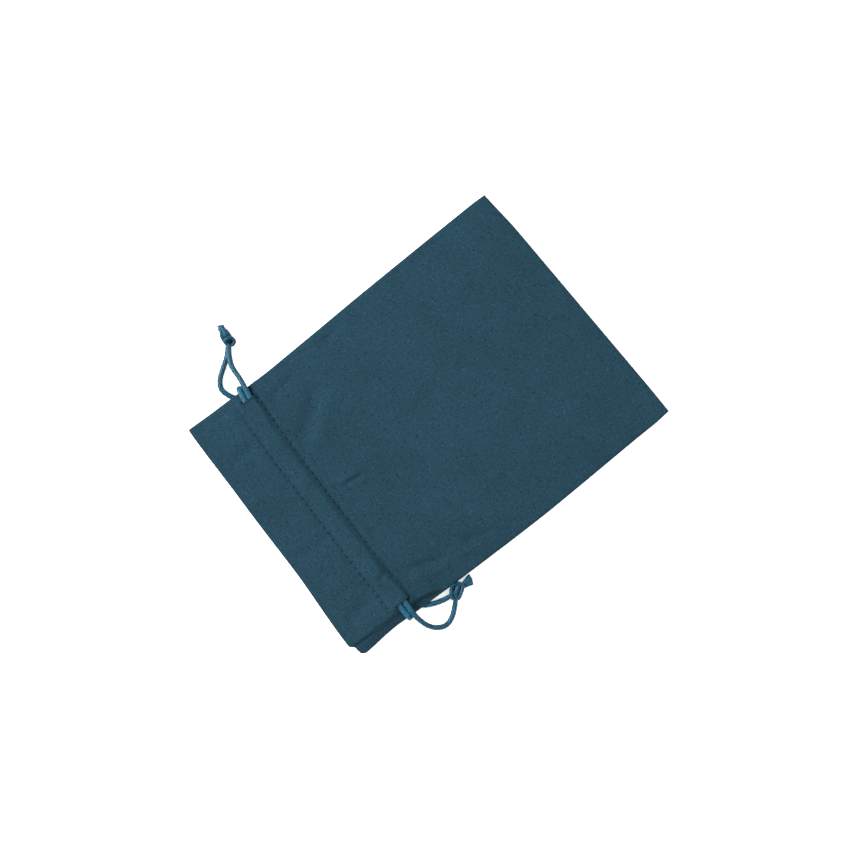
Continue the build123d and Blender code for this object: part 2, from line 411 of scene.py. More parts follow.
def make_cloth():
    """Plain cotton weave: uneven yarns both ways and small slubs, with painted shade in the weave's grooves and in the
    needle holes.
    """
    n = Nodes("cloth_cotton")
    x, y = n.uv()
    wobble = n.noise(n.vector(x, y), 200.0)
    across = n.math("ADD", n.math("DIVIDE", x, YARN), n.times(wobble, 0.8))
    along = n.math("ADD", n.math("DIVIDE", y, YARN), n.times(wobble, 0.7))
    waves = [n.math("SINE", n.times(v, math.pi)) for v in (across, along)]
    weave = n.math("POWER", n.math("ABSOLUTE", n.times(*waves)), 0.7)
    warp, weft = n.streaks(x, y, 1500.0, 120.0), n.streaks(x, y, 110.0, 1500.0, 7.0)
    cloudy, grain = n.noise(n.vector(x, y, 11.0), 45.0), n.noise(n.vector(x, y, 23.0), 800.0)
    slub = n.streaks(x, y, 260.0, 1700.0, 19.0)
    speck = n.add("TexWhiteNoise", noise_dimensions="2D")
    cells = [n.math("FLOOR", n.math("DIVIDE", v, SPECK)) for v in (x, y)]
    n.link(n.vector(*cells), speck.inputs["Vector"])
    random = speck.outputs["Value"]
    pit = n.add("Attribute", attribute_name="pit").outputs["Fac"]
    tone = n.times(
        n.ramp(warp, 0.25, 0.75, 0.94, 1.06),
        n.ramp(weft, 0.25, 0.75, 0.92, 1.08),
        n.ramp(grain, 0.2, 0.8, 0.88, 1.12),
        n.ramp(cloudy, 0.25, 0.75, 0.94, 1.06),
        # painted shade and light from the weave's height: darker in the grooves between yarns, lighter on their tops
        n.ramp(weave, 0.0, 1.0, 0.44, 1.36),
        n.ramp(random, 0.0, 0.11, 0.48, 1.0),
        n.ramp(random, 0.95, 1.0, 1.0, 1.6),
        n.ramp(slub, 0.68, 0.74, 1.0, 1.5),
        # painted shade in the needle holes
        n.math("SUBTRACT", 1.0, n.times(pit, PIT_SHADE)),
    )
    n.shade(CLOTH_COLOUR, tone)
    n.bump(weave, 0.10 * MM, 0.7)
    return n.finish(0.88, 0.05)


def make_cord():
    """Braided satin: painted highlight on the plaits' raised floats and painted shade in the joins between them."""
    n = Nodes("cord_satin")
    x, y = n.uv()
    plait = n.add("Attribute", attribute_name="plait").outputs["Fac"]
    fibre = n.streaks(x, y, 5200.0, 900.0)
    patch = n.noise(n.vector(x, y, 5.0), 300.0)
    tone = n.times(
        # painted highlight and shade from the plait's height: raised floats lighter, joins darker
        n.ramp(plait, 0.3, 1.0, 0.30, 1.60),
        n.ramp(fibre, 0.25, 0.75, 0.8, 1.2),
        n.ramp(patch, 0.3, 0.7, 0.62, 1.42),
    )
    n.shade(CORD_COLOUR, tone)
    n.bump(fibre, 0.05 * MM, 0.5)
    return n.finish(0.36, 0.16)


def make_thread(name, colour):
    """Twisted sewing thread, with painted shade along the twist's grooves."""
    n = Nodes(name)
    x, y = n.uv()
    twist = n.math("SINE", n.math("ADD", n.times(x, 6000.0), n.times(y, 9000.0)))
    fuzz = n.noise(n.vector(x, y), 900.0)
    # painted shade and light from the twist: darker in its grooves, lighter on its ridges
    n.shade(colour, n.times(n.ramp(twist, -1.0, 1.0, 0.75, 1.2), n.ramp(fuzz, 0.2, 0.8, 0.85, 1.15)))
    n.bump(twist, 0.03 * MM, 0.6)
    return n.finish(0.6, 0.1)


def make_floor():
    n = Nodes("floor_paper")
    coords = n.add("TexCoord").outputs["Object"]
    n.shade(FLOOR_COLOUR, n.ramp(n.noise(coords, 3.0), 0.0, 1.0, 0.99, 1.0))
    n.shader.inputs["Emission Color"].default_value = (1, 1, 1, 1)
    n.shader.inputs["Emission Strength"].default_value = FLOOR_GLOW
    return n.finish(0.9, 0.1)


cloth_material = make_cloth()
cord_material = make_cord()
thread_material = make_thread("thread_cotton", THREAD_COLOUR)
overlock_material = make_thread("thread_overlock", OVERLOCK_COLOUR)
floor_material = make_floor()

# ---- meshes


def add_mesh(name, points, faces, material, slot, uvs=None, values=None, normals=None):
    """A mesh object from arrays. uvs are per point, values are per-point attributes, normals per corner."""
    mesh = bpy.data.meshes.new(name)
    mesh.from_pydata([tuple(p) for p in points], [], faces)
    corners = np.zeros(len(mesh.loops), np.int32)
    mesh.loops.foreach_get("vertex_index", corners)
    if uvs is not None:
        layer = mesh.uv_layers.new(name="flat")
        layer.data.foreach_set("uv", np.asarray(uvs, np.float32)[corners].ravel())
    for key, value in (values or {}).items():
        attribute = mesh.attributes.new(key, "FLOAT", "POINT")
        attribute.data.foreach_set("value", np.asarray(value, np.float32))
    mesh.polygons.foreach_set("use_smooth", np.ones(len(mesh.polygons), bool))
    if normals is not None:
        mesh.normals_split_custom_set(normals)
    mesh.materials.append(material)
    piece = add_object(name, mesh)
    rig.slot(piece, slot)
    return piece


def frames_along(line):
    """Normals and binormals, carried along the line without twist."""
    tangent = np.gradient(line, axis=0)
    tangent /= np.linalg.norm(tangent, axis=1)[:, None]
    normal = np.zeros_like(line)
    up = np.array([0, 0, 1])
    normal[0] = up - np.dot(up, tangent[0]) * tangent[0]
    normal[0] /= np.linalg.norm(normal[0])
    for i in range(1, len(line)):
        turned = normal[i - 1] - np.dot(normal[i - 1], tangent[i]) * tangent[i]
        normal[i] = turned / np.linalg.norm(turned)
    return normal, np.cross(tangent, normal)


def distance_along(line):
    return np.concatenate([[0], np.cumsum(np.linalg.norm(np.diff(line, axis=0), axis=1))])


def evenly(line, step):
    """The same line with points about step apart."""
    at = distance_along(line)
    count = max(3, int(math.ceil(at[-1] / step)) + 1)
    want = np.linspace(0, at[-1], count)
    return np.stack([np.interp(want, at, line[:, k]) for k in range(3)], axis=1)


PLAITS = 5
PLAIT_LENGTH = 2.5 * MM
# the plaits' relief: of those that run underneath, its mean, and what a calm cord's comes close to
UNDER_PLAIT, MEAN_PLAIT, CALM_PLAIT, MOST_CALM = 0.55, 0.4, 0.95, 0.75


def tube(line, radius, thick=1.0, wide=1.0, sides=30, braid=0.0, calm=0.0):
    """Points, faces, flat coordinates and plait heights of a tube with closed ends.

    radius, thick, wide and calm are numbers or one value per ring. braid is the relief's share of the
    radius, and calm is how far the plaits are drawn even, as in a stretched cord.
    """
    normal, binormal = frames_along(line)
    at = distance_along(line)

    def per_ring(value):
        return np.broadcast_to(np.asarray(value, float), at.shape)[:, None]

    around = np.linspace(0, 2 * math.pi, sides, endpoint=False)
    turn, run = np.meshgrid(around, at)
    lean = 2 * math.pi * run / PLAIT_LENGTH
    first, second = np.cos(PLAITS * turn + lean), np.cos(PLAITS * turn - lean)
    plait = np.maximum(first, UNDER_PLAIT * second)
    plait = plait + (CALM_PLAIT - plait) * MOST_CALM * per_ring(calm)
    size = per_ring(radius) * (1 + braid * (plait - MEAN_PLAIT))
    high = size * per_ring(thick) * np.cos(turn)
    side = size * per_ring(wide) * np.sin(turn)
    rings = line[:, None] + high[..., None] * normal[:, None] + side[..., None] * binormal[:, None]
    points = rings.reshape(-1, 3)
    middle, last = len(points), len(points) - sides
    pairs = [(j, (j + 1) % sides) for j in range(sides)]
    faces = [(i + j, i + k, i + sides + k, i + sides + j) for i in range(0, last, sides) for j, k in pairs]
    for j, k in pairs:
        faces += [(middle, k, j), (middle + 1, last + j, last + k)]
    points = np.vstack([points, line[:1], line[-1:]])
    uvs = stack(turn.ravel() * CORD / 2, run.ravel())
    uvs = np.vstack([uvs, [[0, 0], [0, at[-1]]]])
    # the plait height, which the cord's colour also takes for its painted highlight and shade
    heights = np.concatenate([(0.5 + 0.5 * plait).ravel(), [0.2, 0.2]])
    return points, faces, uvs, heights


def join(parts):
    """Several tubes as one set of arrays."""
    points, faces, uvs, heights, start = [], [], [], [], 0
    for p, f, u, h in parts:
        points.append(p)
        faces += [tuple(i + start for i in face) for face in f]
        uvs.append(u)
        heights.append(h)
        start += len(p)
    return np.vstack(points), faces, np.vstack(uvs), np.concatenate(heights)


def tube_piece(name, parts, material, slot):
    points, faces, uvs, heights = join(parts)
    return add_mesh(name, points, faces, material, slot, uvs, {"plait": heights})


def cord_piece(node, ending, parts, body):
    """A piece of cord in place of a CAD node, on that node's body."""
    piece = tube_piece(f"{node}_{ending}", parts, cord_material, "cord")
    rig.ride(piece, body)
    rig.replaces(piece, node)
    return piece


# ---- cords


def spline_line(points):
    """The smooth line of a route in millimetres, which gives a NURBS curve's control points."""
    curve = bpy.data.curves.new("route", "CURVE")
    curve.dimensions = "3D"
    curve.resolution_u = 16
    spline = curve.splines.new("NURBS")
    spline.points.add(len(points) - 1)
    for target, point in zip(spline.points, points):
        target.co = (*(np.array(point) * MM), 1.0)
    spline.order_u = 3
    spline.use_endpoint_u = True
    route = bpy.data.objects.new("route", curve)
    mesh = bpy.data.meshes.new_from_object(route)
    line = np.array([v.co for v in mesh.vertices])
    bpy.data.meshes.remove(mesh)
    bpy.data.curves.remove(curve)
    return line


# routes are in millimetres: first the free ends of the cords, from inside the channel to the knots
LEFT_FRONT_LEAD = [
    (-58.5, -66.3, FRONT), (-65.3, -66.3, FRONT), (-72, -65, 9.2), (-78.5, -64, 7.5), (-85, -64.1, 5.6),
    (-90.5, -62.1, 4.6), (-93.8, -60, 4), (-96, -58.1, 3.6),
]
LEFT_BACK_LEAD = [
    (-58.5, -69.4, BACK), (-64.3, -69.4, BACK), (-69.9, -71.8, 1.5), (-75.2, -74.9, 1.48),
    (-80.2, -76.2, 1.48), (-84.8, -73.3, 1.48), (-88, -68.8, 1.48), (-91.2, -63.8, 1.5), (-94, -60.9, 1.5),
    (-96.4, -59, 1.7),
]
RIGHT_FRONT_LEAD = [
    (58.5, -66.4, FRONT), (65.5, -66.5, FRONT), (72.5, -66.8, 9.4), (79.5, -66.7, 8), (86.2, -64.6, 5.2),
    (90, -61.2, 2.7), (91.6, -56.6, 1.7), (89.8, -52, 1.6), (86.5, -47.9, 1.9), (83.1, -44.6, 3),
]
RIGHT_BACK_LEAD = [
    (58.5, -66.4, BACK), (64.4, -66.4, BACK), (70.6, -64.6, 1.5), (75.9, -60.4, 1.5), (78.7, -54.4, 1.5),
    (80.2, -49, 1.6), (80.3, -45, 2.2),
]
# the cords in their channel: along the front, round one margin and along the back.
# They change sides once, where they cross in the front of the channel.
LEFT_CHANNEL = [
    (-58.5, -66.3, FRONT), (-52, -67.5, FRONT), (-45, -67.6, FRONT), (0, -67.7, FRONT),
    (41, -67.9, FRONT - 0.1), (50, -69.7, FRONT - 0.4), (57, -70, FRONT), (65.4, -69.8, 9.7),
    (71, -70, 9.1), (76.6, -69.6, 8.6), (76.8, -69.6, 3.1), (71, -69.4, 2.9), (65.4, -69.4, BACK),
    (0, -69.4, BACK), (-58.5, -69.4, BACK),
]
RIGHT_CHANNEL = [
    (58.5, -66.4, FRONT), (50, -69, FRONT + 0.7), (41, -70.4, FRONT + 0.1), (0, -70.6, FRONT),
    (-47, -70.5, FRONT), (-56, -70.6, FRONT), (-63, -69.7, FRONT), (-68.6, -69, 9), (-74.7, -67.9, 8.3),
    (-74.8, -67, 3.3), (-68.6, -66.5, 2.9), (-63, -66.4, BACK), (0, -66.4, BACK), (58.5, -66.4, BACK),
]

RING = 0.3 * MM
BRAID = 0.07
PRESSED_THICK, PRESSED_WIDE = 0.70, 1.16
LOOSE = 1.14
PRESSED_OUT, LOOSE_AFTER = 2 * MM, 9 * MM
LEAD_TAPER = 5 * MM
CROSSING_AT, CROSSING_WIDTH = 50, 6
CROSSING_THIN, CROSSING_WIDER = 0.22, 0.12


def make_lead(name, points, body):
    """A free cord end: pressed flat in the channel, round outside, and drawn thin into its knot."""
    line = evenly(spline_line(points), RING)
    at = distance_along(line)
    outside = smooth((np.abs(line[:, 0]) - SLIT_X - PRESSED_OUT) / LOOSE_AFTER)
    thick = PRESSED_THICK + (LOOSE - PRESSED_THICK) * outside
    wide = PRESSED_WIDE + (LOOSE - PRESSED_WIDE) * outside
    drawn = 1 - (1 - KNOT_CORD / CORD) * smooth((at - at[-1] + LEAD_TAPER) / LEAD_TAPER)
    parts = [tube(line, CORD / 2 * drawn, thick, wide, braid=BRAID, calm=1 - outside)]
    return cord_piece(name, "braid", parts, body), line


def make_channel_run(name, points, body):
    """A cord in its channel, pressed flat, and flatter still where the two cross."""
    line = evenly(spline_line(points), RING)
    front = line[:, 2] > 8.5 * MM
    squeeze = hump(line[:, 0], CROSSING_AT, CROSSING_WIDTH) * front
    thick = PRESSED_THICK - CROSSING_THIN * squeeze
    wide = PRESSED_WIDE + CROSSING_WIDER * squeeze
    cord_piece(name, "braid", [tube(line, CORD / 2, thick, wide, braid=BRAID, calm=0.9)], body)


leads = {}
for side_name, front_route, back_route in (
    ("left", LEFT_FRONT_LEAD, LEFT_BACK_LEAD), ("right", RIGHT_FRONT_LEAD, RIGHT_BACK_LEAD),
):
    for level, route in (("front", front_route), ("back", back_route)):
        lead_name = f"{side_name}_cord_{level}_lead"
        leads[lead_name] = make_lead(lead_name, route, f"{side_name}_cord")
make_channel_run("left_cord_channel_run", LEFT_CHANNEL, "left_cord")
make_channel_run("right_cord_channel_run", RIGHT_CHANNEL, "right_cord")

# ---- knots

# each knot is one overhand knot of both cord ends: the way of each strand through it
LEFT_KNOT = [
    [
        (-96, -58.1, 3.6), (-97.3, -58.9, 3.8), (-98.8, -59, 4.8), (-99.2, -57, 6), (-98.7, -55, 4.8),
        (-97.6, -54.6, 3.6), (-95.8, -54.5, 3.4), (-94.9, -56.2, 3.2), (-95.6, -57.8, 2.4),
        (-97.2, -57.4, 1.6), (-99, -56.2, 2.4), (-100.8, -56, 4.2), (-102.6, -56.2, 4.6), (-104, -56, 3.4),
    ],
    [
        (-96.4, -59, 1.7), (-98, -59.2, 2.2), (-100.3, -58.9, 3.6), (-102.8, -58.3, 3.8),
        (-104.6, -56.8, 3.4), (-104, -54.9, 3.4), (-101.2, -54.7, 4), (-99.2, -55, 2.8),
        (-96.8, -55.3, 1.4), (-95.2, -56.7, 1.2), (-97.8, -57.7, 1.4), (-100.2, -57.4, 3.4),
        (-102.4, -57.3, 3.8), (-103.8, -57.1, 2.4),
    ],
]
RIGHT_KNOT = [
    [
        (83.1, -44.6, 3), (83.9, -43.4, 3.6), (83.2, -42, 4.6), (81.8, -39.9, 5.2), (80.3, -37.6, 5),
        (78.5, -37.6, 5), (78.2, -39.4, 6.2), (79.6, -41.4, 6.4), (81.3, -43.4, 5.2), (82.2, -44.4, 3),
        (80.8, -42.4, 1.6), (79.6, -40, 1.8), (79.6, -37.3, 3),
    ],
    [
        (80.3, -45, 2.2), (81, -43.4, 2.2), (81.8, -41.2, 2.6), (80.6, -38.4, 3), (78.4, -37.6, 3),
        (76.9, -39.2, 3.2), (76.6, -41.6, 4), (77.8, -43.6, 5.4), (79.8, -45.2, 5.8), (82, -46, 4.4),
        (82.6, -44.4, 2.2), (80.6, -42.8, 1.2), (78.4, -42.4, 1.4), (78, -40.2, 3.8), (79.2, -38.6, 3.6),
        (80.2, -37.3, 2.4),
    ],
]
LEFT_KNOT_THICK = 1.85 * MM
RIGHT_KNOT_THICK = 2.15 * MM
TAIL_CUT_DEPTH = 3 * MM
# how wide each tail's end is, and how oblique its cut
TAIL_SHAPES = {"left": ((1.5, 1.1), (1.3, -0.6)), "right": ((1.6, 0.3), (1.6, 0.3))}

LEFT_TAILS = [
    [(-102.6, -55.8, 4), (-104.8, -55.5, 3.4), (-107.2, -55.7, 2.6)],
    [(-102.6, -57.1, 3), (-104.6, -56.9, 2.4), (-106.7, -56.6, 2)],
]
RIGHT_TAILS = [
    [(79.4, -38.4, 4), (79.3, -35.4, 3), (78.7, -31.3, 2)],
    [(80.4, -38.4, 3), (80.6, -35.4, 2.6), (81.4, -32.1, 1.9)],
]


def make_tail(name, points, body, wide_end, cut):
    """A short cord end, flattened, spreading towards an oblique cut."""
    line = evenly(spline_line(points), 0.2 * MM)
    share = np.linspace(0, 1, len(line))
    points, faces, uvs, heights = tube(
        line, KNOT_CORD / 2, 1 - 0.25 * share, 1 + (wide_end - 1) * smooth(share), braid=BRAID
    )
    end = line[-1] - line[-2]
    end /= np.linalg.norm(end)
    side = np.array([-end[1], end[0], 0.0])
    near = np.clip(1 - np.linalg.norm(points - line[-1], axis=1) / TAIL_CUT_DEPTH, 0, 1)[:, None]
    points = points + near * ((points - line[-1]) @ side)[:, None] * end * cut
    return cord_piece(name, "end", [(points, faces, uvs, heights)], body)


def make_knot(name, strands, thick, body):
    parts = [tube(evenly(spline_line(points), RING), thick / 2, braid=BRAID) for points in strands]
    return cord_piece(name, "wraps", parts, body)


left_knot = make_knot("left_knot", LEFT_KNOT, LEFT_KNOT_THICK, "left_cord")
right_knot = make_knot("right_knot", RIGHT_KNOT, RIGHT_KNOT_THICK, "right_cord")
tails = {
    side: [
        make_tail(f"{side}_cord_tail_{i + 1}", routes[i], f"{side}_cord", *TAIL_SHAPES[side][i])
        for i in (0, 1)
    ]
    for side, routes in (("left", LEFT_TAILS), ("right", RIGHT_TAILS))
}
for side_name, knot_piece in (("left", left_knot), ("right", right_knot)):
    exit_x = side_of(side_name) * SLIT_X
    knotted = [knot_piece] + tails[side_name]
    for level, exit_z, extra in (("front", FRONT_CORD_Z, knotted), ("back", BACK_CORD_Z, [])):
        piece, line = leads[f"{side_name}_cord_{level}_lead"]
        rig.cord(
            piece, exit=(exit_x, float(line[0][1]), exit_z), length=float(distance_along(line)[-1]),
            diameter=CORD, far_end="knot", stiffness="limp", lay="loose", path=line, with_pieces=extra,
        )

# ---- the cloth's shape


def line_at(a, b, y):
    return a[0] + (b[0] - a[0]) * (y - a[1]) / (b[1] - a[1])


# how far the side edges bow out of the straight line between their corners: (y, bow) in millimetres
LEFT_BOW = [
    (-101, 0.9), (-92, 0.2), (-80, -0.1), (-55, -1.1), (-40, -0.8), (-15, -0.3), (10, 0.3), (50, 0.8),
    (95.5, 1.2), (98.2, 0.4),
]
RIGHT_BOW = [
    (-102, 1.2), (-90, 0.5), (-87, 0.3), (-83, -0.55), (-79, -0.4), (-64, 0.4), (-30, 1.5), (0, 2.1),
    (22, 2.3), (50, 1.7), (80, 1.0), (102.4, 0.8), (105.2, -0.3),
]


def bow_at(bow, y):
    """A bow between its points, with the corners rounded off."""
    at, size = np.array(bow).T * MM
    return sum(np.interp(y + shift * MM, at, size) for shift in (-6, -3, 0, 3, 6)) / 5


def side_edge(side, y):
    """X of the side edge: the sewn line, drawn in a little at the channel."""
    if side < 0:
        return line_at(CLOSED_LEFT, MOUTH_LEFT, y) - bow_at(LEFT_BOW, y)
    rounded = 1.2 * MM * ease(-y, 98.6, 3.4) ** 2
    return line_at(CLOSED_RIGHT, MOUTH_RIGHT, y) + bow_at(RIGHT_BOW, y) - rounded


def closed_edge(x):
    a, b = CLOSED_LEFT, CLOSED_RIGHT
    bow = 0.7 * MM + 1.05 * MM * ease(x, -77, 26) - 0.25 * MM * ease(x, 55, 20)
    return a[1] + (b[1] - a[1]) * (x - a[0]) / (b[0] - a[0]) + bow


def mouth_edge(x):
    """Y of the front's mouth edge; its right corner is rounded and the side strip ends further in."""
    a, b = MOUTH_LEFT, MOUTH_RIGHT
    line = a[1] + (b[1] - a[1]) * (x - a[0]) / (b[0] - a[0]) - 0.7 * MM * ease(x, 20, 45)
    line = line + 0.45 * MM * hump(x, 22, 24) - 0.5 * MM * ease(-x, 30, 40)
    rounded = ease(x, 67.6, 4.4) ** 1.5
    return line + (-101.5 * MM - line) * rounded - 0.3 * MM * hump(x, 72.8, 1.5)


def back_mouth_edge(x):
    return -101.4 * MM - 0.2 * MM * smooth(x / HALF_WIDTH)


def edge_level(x, y):
    """Height of the side edge over the surface the pouch lies on; it is lower at the right of the mouth."""
    level = 4.0 * MM + 1.6 * MM * bell((y - CHANNEL_Y) / (17 * MM))
    level = level - 1.7 * MM * ease(-y, 44, 10) * (x > 0)
    return level - 1.1 * MM * ease(y, 40, 55)


def rolled(distance, width=ROLL):
    """A rounded edge: 0 at the edge and 1 from width inwards."""
    t = np.clip(distance / width, 0, 1)
    return np.sqrt(1 - (1 - t) ** 2)


def swell(distance, width):
    """Like rolled, but steepest at the edge without standing upright there."""
    return 1 - (1 - np.clip(distance / width, 0, 1)) ** 2


def distances(x, y):
    """How far points are inside the nearer side edge and the closed end."""
    side = np.minimum(x - side_edge(-1, y), side_edge(1, y) - x)
    return np.maximum(side, 0), np.maximum(closed_edge(x) - y, 0)


def row_y(x, which):
    """Y of a row of stitches, which bows a little."""
    if which == "closed_side":
        return ROW_CLOSED_Y - 1.0 * MM + np.where(x < 0, 1.3, 0.9) * MM * (x / SLIT_X) ** 2
    return ROW_MOUTH_Y - 0.6 * MM + np.where(x < 0, 1.3, 0.4) * MM * (x / SLIT_X) ** 2


FOLD_DEPTH = 2.1 * MM
# soft folds: start, end and half width in millimetres, and height as a share of FOLD_DEPTH
FOLDS = [
    ((1.3, -43.0), (-0.7, -56.0), 1.1, -0.55),
    ((-1.6, -42.0), (-3.2, -56.0), 2.4, 0.35),
    ((67.0, -9.4), (61.0, -22.4), 3.0, -0.5),
    ((70.5, -12.0), (66.0, -30.0), 2.6, 0.4),
    ((63.0, -34.0), (54.0, -58.0), 2.6, -0.55),
    ((67.0, -36.0), (60.0, -58.0), 2.6, 0.4),
    ((-51.0, -32.0), (-31.0, -59.0), 4.5, -0.6),
    ((-62.0, -40.0), (-60.0, -58.0), 3.0, -0.45),
    ((-44.0, -30.0), (-22.0, -56.0), 5.0, 0.35),
    ((-72.0, -4.0), (-66.0, -20.0), 3.0, -0.5),
    ((30.0, -50.0), (27.0, -60.0), 2.0, -0.3),
    ((-46.0, -78.0), (-44.0, -98.0), 3.5, -0.4),
    ((-20.0, -80.0), (-24.0, -100.0), 5.0, 0.3),
    ((17.0, -78.0), (15.0, -99.0), 3.5, -0.35),
    ((54.0, -78.0), (60.0, -98.0), 4.5, -0.5),
    ((38.0, -80.0), (42.0, -100.0), 4.0, 0.25),
    ((49.5, -64.5), (50.5, -71.0), 1.2, -0.45),
    ((-68.0, -80.0), (-69.5, -92.0), 2.0, -0.4),
]


def folds(x, y):
    total = np.zeros_like(x)
    for (x0, y0), (x1, y1), width, height in FOLDS:
        a, b = np.array([x0, y0]) * MM, np.array([x1, y1]) * MM
        run = b - a
        t = ((x - a[0]) * run[0] + (y - a[1]) * run[1]) / (run @ run)
        off = ((x - a[0]) * run[1] - (y - a[1]) * run[0]) / np.linalg.norm(run)
        ends = smooth(t / 0.35 + 0.3) * smooth((1 - t) / 0.35 + 0.3)
        total = total + FOLD_DEPTH * height * bell(off / (width * MM)) * ends
    return total


def ripples(x, y):
    """Small uneven puckers beside the rows of stitches, and a slow swell of the whole cloth."""
    total = 0.0
    for which, reach, deep in (("closed_side", 13.0, 0.12), ("mouth_side", 5.0, 0.20)):
        near = bell((y - row_y(x, which)) / (reach * MM))
        wave = np.sin(x / (2.1 * MM) + 1.3) * 0.35 + np.sin(x / (3.3 * MM) + 0.4) * 0.5
        wave = wave + np.sin(x / (5.7 * MM) + 2.0)
        total = total + deep * MM * near * wave
        close = bell((y - row_y(x, which)) / (2.2 * MM))
        total = total + 0.06 * MM * close * np.cos(2 * math.pi * (x - LAST_HOLE_X) / STITCH + math.pi)
    slow = np.sin(x / (17 * MM) + y / (31 * MM)) * np.sin(y / (23 * MM) - x / (47 * MM) + 0.7)
    return total + 0.22 * MM * slow + 0.12 * MM * np.sin(x / (9 * MM) - y / (13 * MM) + 1.0)


def slit_share(y):
    """0 at both ends of a slit and 1 along its middle."""
    t = np.clip((y - SLIT_Y[0]) / (SLIT_Y[1] - SLIT_Y[0]), 0, 1)
    return np.minimum(1.0, 6 * t * (1 - t))


# the right margin's strip: how far the front stands over it, its width, and the ridge along it
STRIP_STEP, STRIP_WIDTH, STRIP_RIDGE = 3.2 * MM, 4.6 * MM, 0.30 * MM
# how far the cloth stands up where the cords cross, at the hem's edge and at a slit's lip
CROSSING_RISE, HEM_STEP, LIP_RISE = 0.9 * MM, 0.3 * MM, 0.35 * MM
# how far the left margin dips and the right margin rises beside its slit
LEFT_DIP, RIGHT_RISE = 1.3 * MM, 1.2 * MM


def valley_x(y):
    """X of the fold beside the right margin."""
    return 70.3 * MM + 6.5 * MM * np.exp((y + 46 * MM) / (8 * MM))


def front_height(x, y, outer):
    """Top of the front cloth; outer says that a point lies beyond its slit."""
    side, end = distances(x, y)
    far = np.abs(x)
    edge = edge_level(x, y)
    at_channel = bell((y - CHANNEL_Y) / (22 * MM))
    top = BODY_TOP + (HEADER_TOP - BODY_TOP) * ease(-y, 38, 20)
    top = top - 0.8 * MM * ease(y, 20, 70)
    width = 42 * MM - 20 * MM * at_channel
    rise = top - edge - EDGE_THICK
    plain = edge + EDGE_THICK * rolled(side) * rolled(end) + rise * swell(side, width) * swell(end, 45 * MM)
    # the right margin: the front's own edge is folded under, and the strip beyond it lies lower
    inside = valley_x(y) - x
    lean = 0.28 + 0.34 * ease(-y, 64, 12)
    floor = edge + 0.2 * MM + 4.1 * MM * lean
    body = floor + STRIP_STEP * rolled(inside, 1.6 * MM)
    body = body + (top - floor - STRIP_STEP) * swell(inside, 0.7 * width)
    ridge = STRIP_RIDGE * hump(side, 2.2, 0.4)
    strip = edge + 0.3 * MM * rolled(side, 0.4 * MM) + lean * np.minimum(side, STRIP_WIDTH) + ridge
    folded = ease(-y, 47, 6) * (1 - 0.35 * ease(-y, 88, 14))
    z = plain + (np.where(inside > 0, body, strip) - plain) * folded * ease(x, 34, 14)
    # the tunnel over the cords, with short slopes beside the slits
    near_slit = smooth((far - SLIT_X + 12 * MM) / (12 * MM))
    drift = TUNNEL_DRIFT * (1 - ease(far, 46, 18))
    low = 2.6 * MM + 0.8 * MM * near_slit
    high = 3.9 * MM * (1 - near_slit) + 2.2 * MM * near_slit
    deeper = TUNNEL_DRIFT * (0.7 + 0.25 * hump(far, 44, 16))
    tunnel = slope((y - TUNNEL_Y[0] - deeper + low) / low) * slope((TUNNEL_Y[1] + drift + high - y) / high)
    crossing = CROSSING_RISE * hump(x, 48, 9)
    apart = np.where(outer, np.maximum(slit_share(y), smooth((far - SLIT_X) / (3 * MM))), 0.0)
    z = z + (TUNNEL_TOP + crossing - z) * tunnel * (1 - apart)
    z = z - 0.4 * MM * hump(y, -75.0, 0.9) * (1 - ease(x, -5, 20)) * (1 - apart)
    # rows of stitches pull the cloth down; the hem's edge shows as a faint step
    free = (1 - apart) * rolled(side, 4 * MM)
    for which, deep in (("closed_side", 0.12), ("mouth_side", 0.18)):
        z = z - deep * MM * bell((y - row_y(x, which)) / (1.3 * MM)) * free
    hem = smooth((HEM_EDGE_Y - y) / (0.8 * MM) + 0.5) - 0.5
    z = z + HEM_STEP * hem * free * bell((y - HEM_EDGE_Y) / (6 * MM))
    soft = np.clip(side / (6 * MM), 0, 1) * np.clip(end / (6 * MM), 0, 1)
    z = z + (folds(x, y) + ripples(x, y)) * soft * (1 - 0.7 * apart)
    # beside the slits: the lip stands up a little and the margin dips at the slit's closed-side end
    lip = LIP_RISE * slit_share(y) * bell((far - SLIT_X) / (1.2 * MM))
    left_dip = LEFT_DIP * bell((y + 63.3 * MM + 1.4 * MM * ease(x, -73.5, 6.5)) / (0.6 * MM))
    right_rise = RIGHT_RISE * hump(y, -63.2, 1.5) * (1 - ease(x, 69.5, 2))
    dip = np.where(x < 0, left_dip, -right_rise) * smooth((far - SLIT_X + 1 * MM) / (1.5 * MM))
    return z + np.where(outer, -dip * np.clip(side / (1 * MM), 0, 1), lip)


def back_height(x, y, outer):
    """Underside of the back cloth: flat on the table, rising to the side edges and over the cords."""
    side, end = distances(x, y)
    edge = edge_level(x, y)
    down = (edge - EDGE_THICK) * (1 - swell(side, 17 * MM) * swell(end, 17 * MM))
    z = edge - EDGE_THICK * rolled(side) * rolled(end) - (edge - EDGE_THICK) + down
    press = slit_share(y) * smooth((np.abs(x) - SLIT_X + 22 * MM) / (10 * MM))
    lift = np.maximum(3.0 * MM - z, 0) * slit_share(y)
    z = np.where(outer, z + lift, z * (1 - press))
    for which in ("closed_side", "mouth_side"):
        z = z + 0.32 * MM * bell((y - row_y(x, which)) / (0.9 * MM)) * np.where(outer, 0.0, 1.0)
    return z


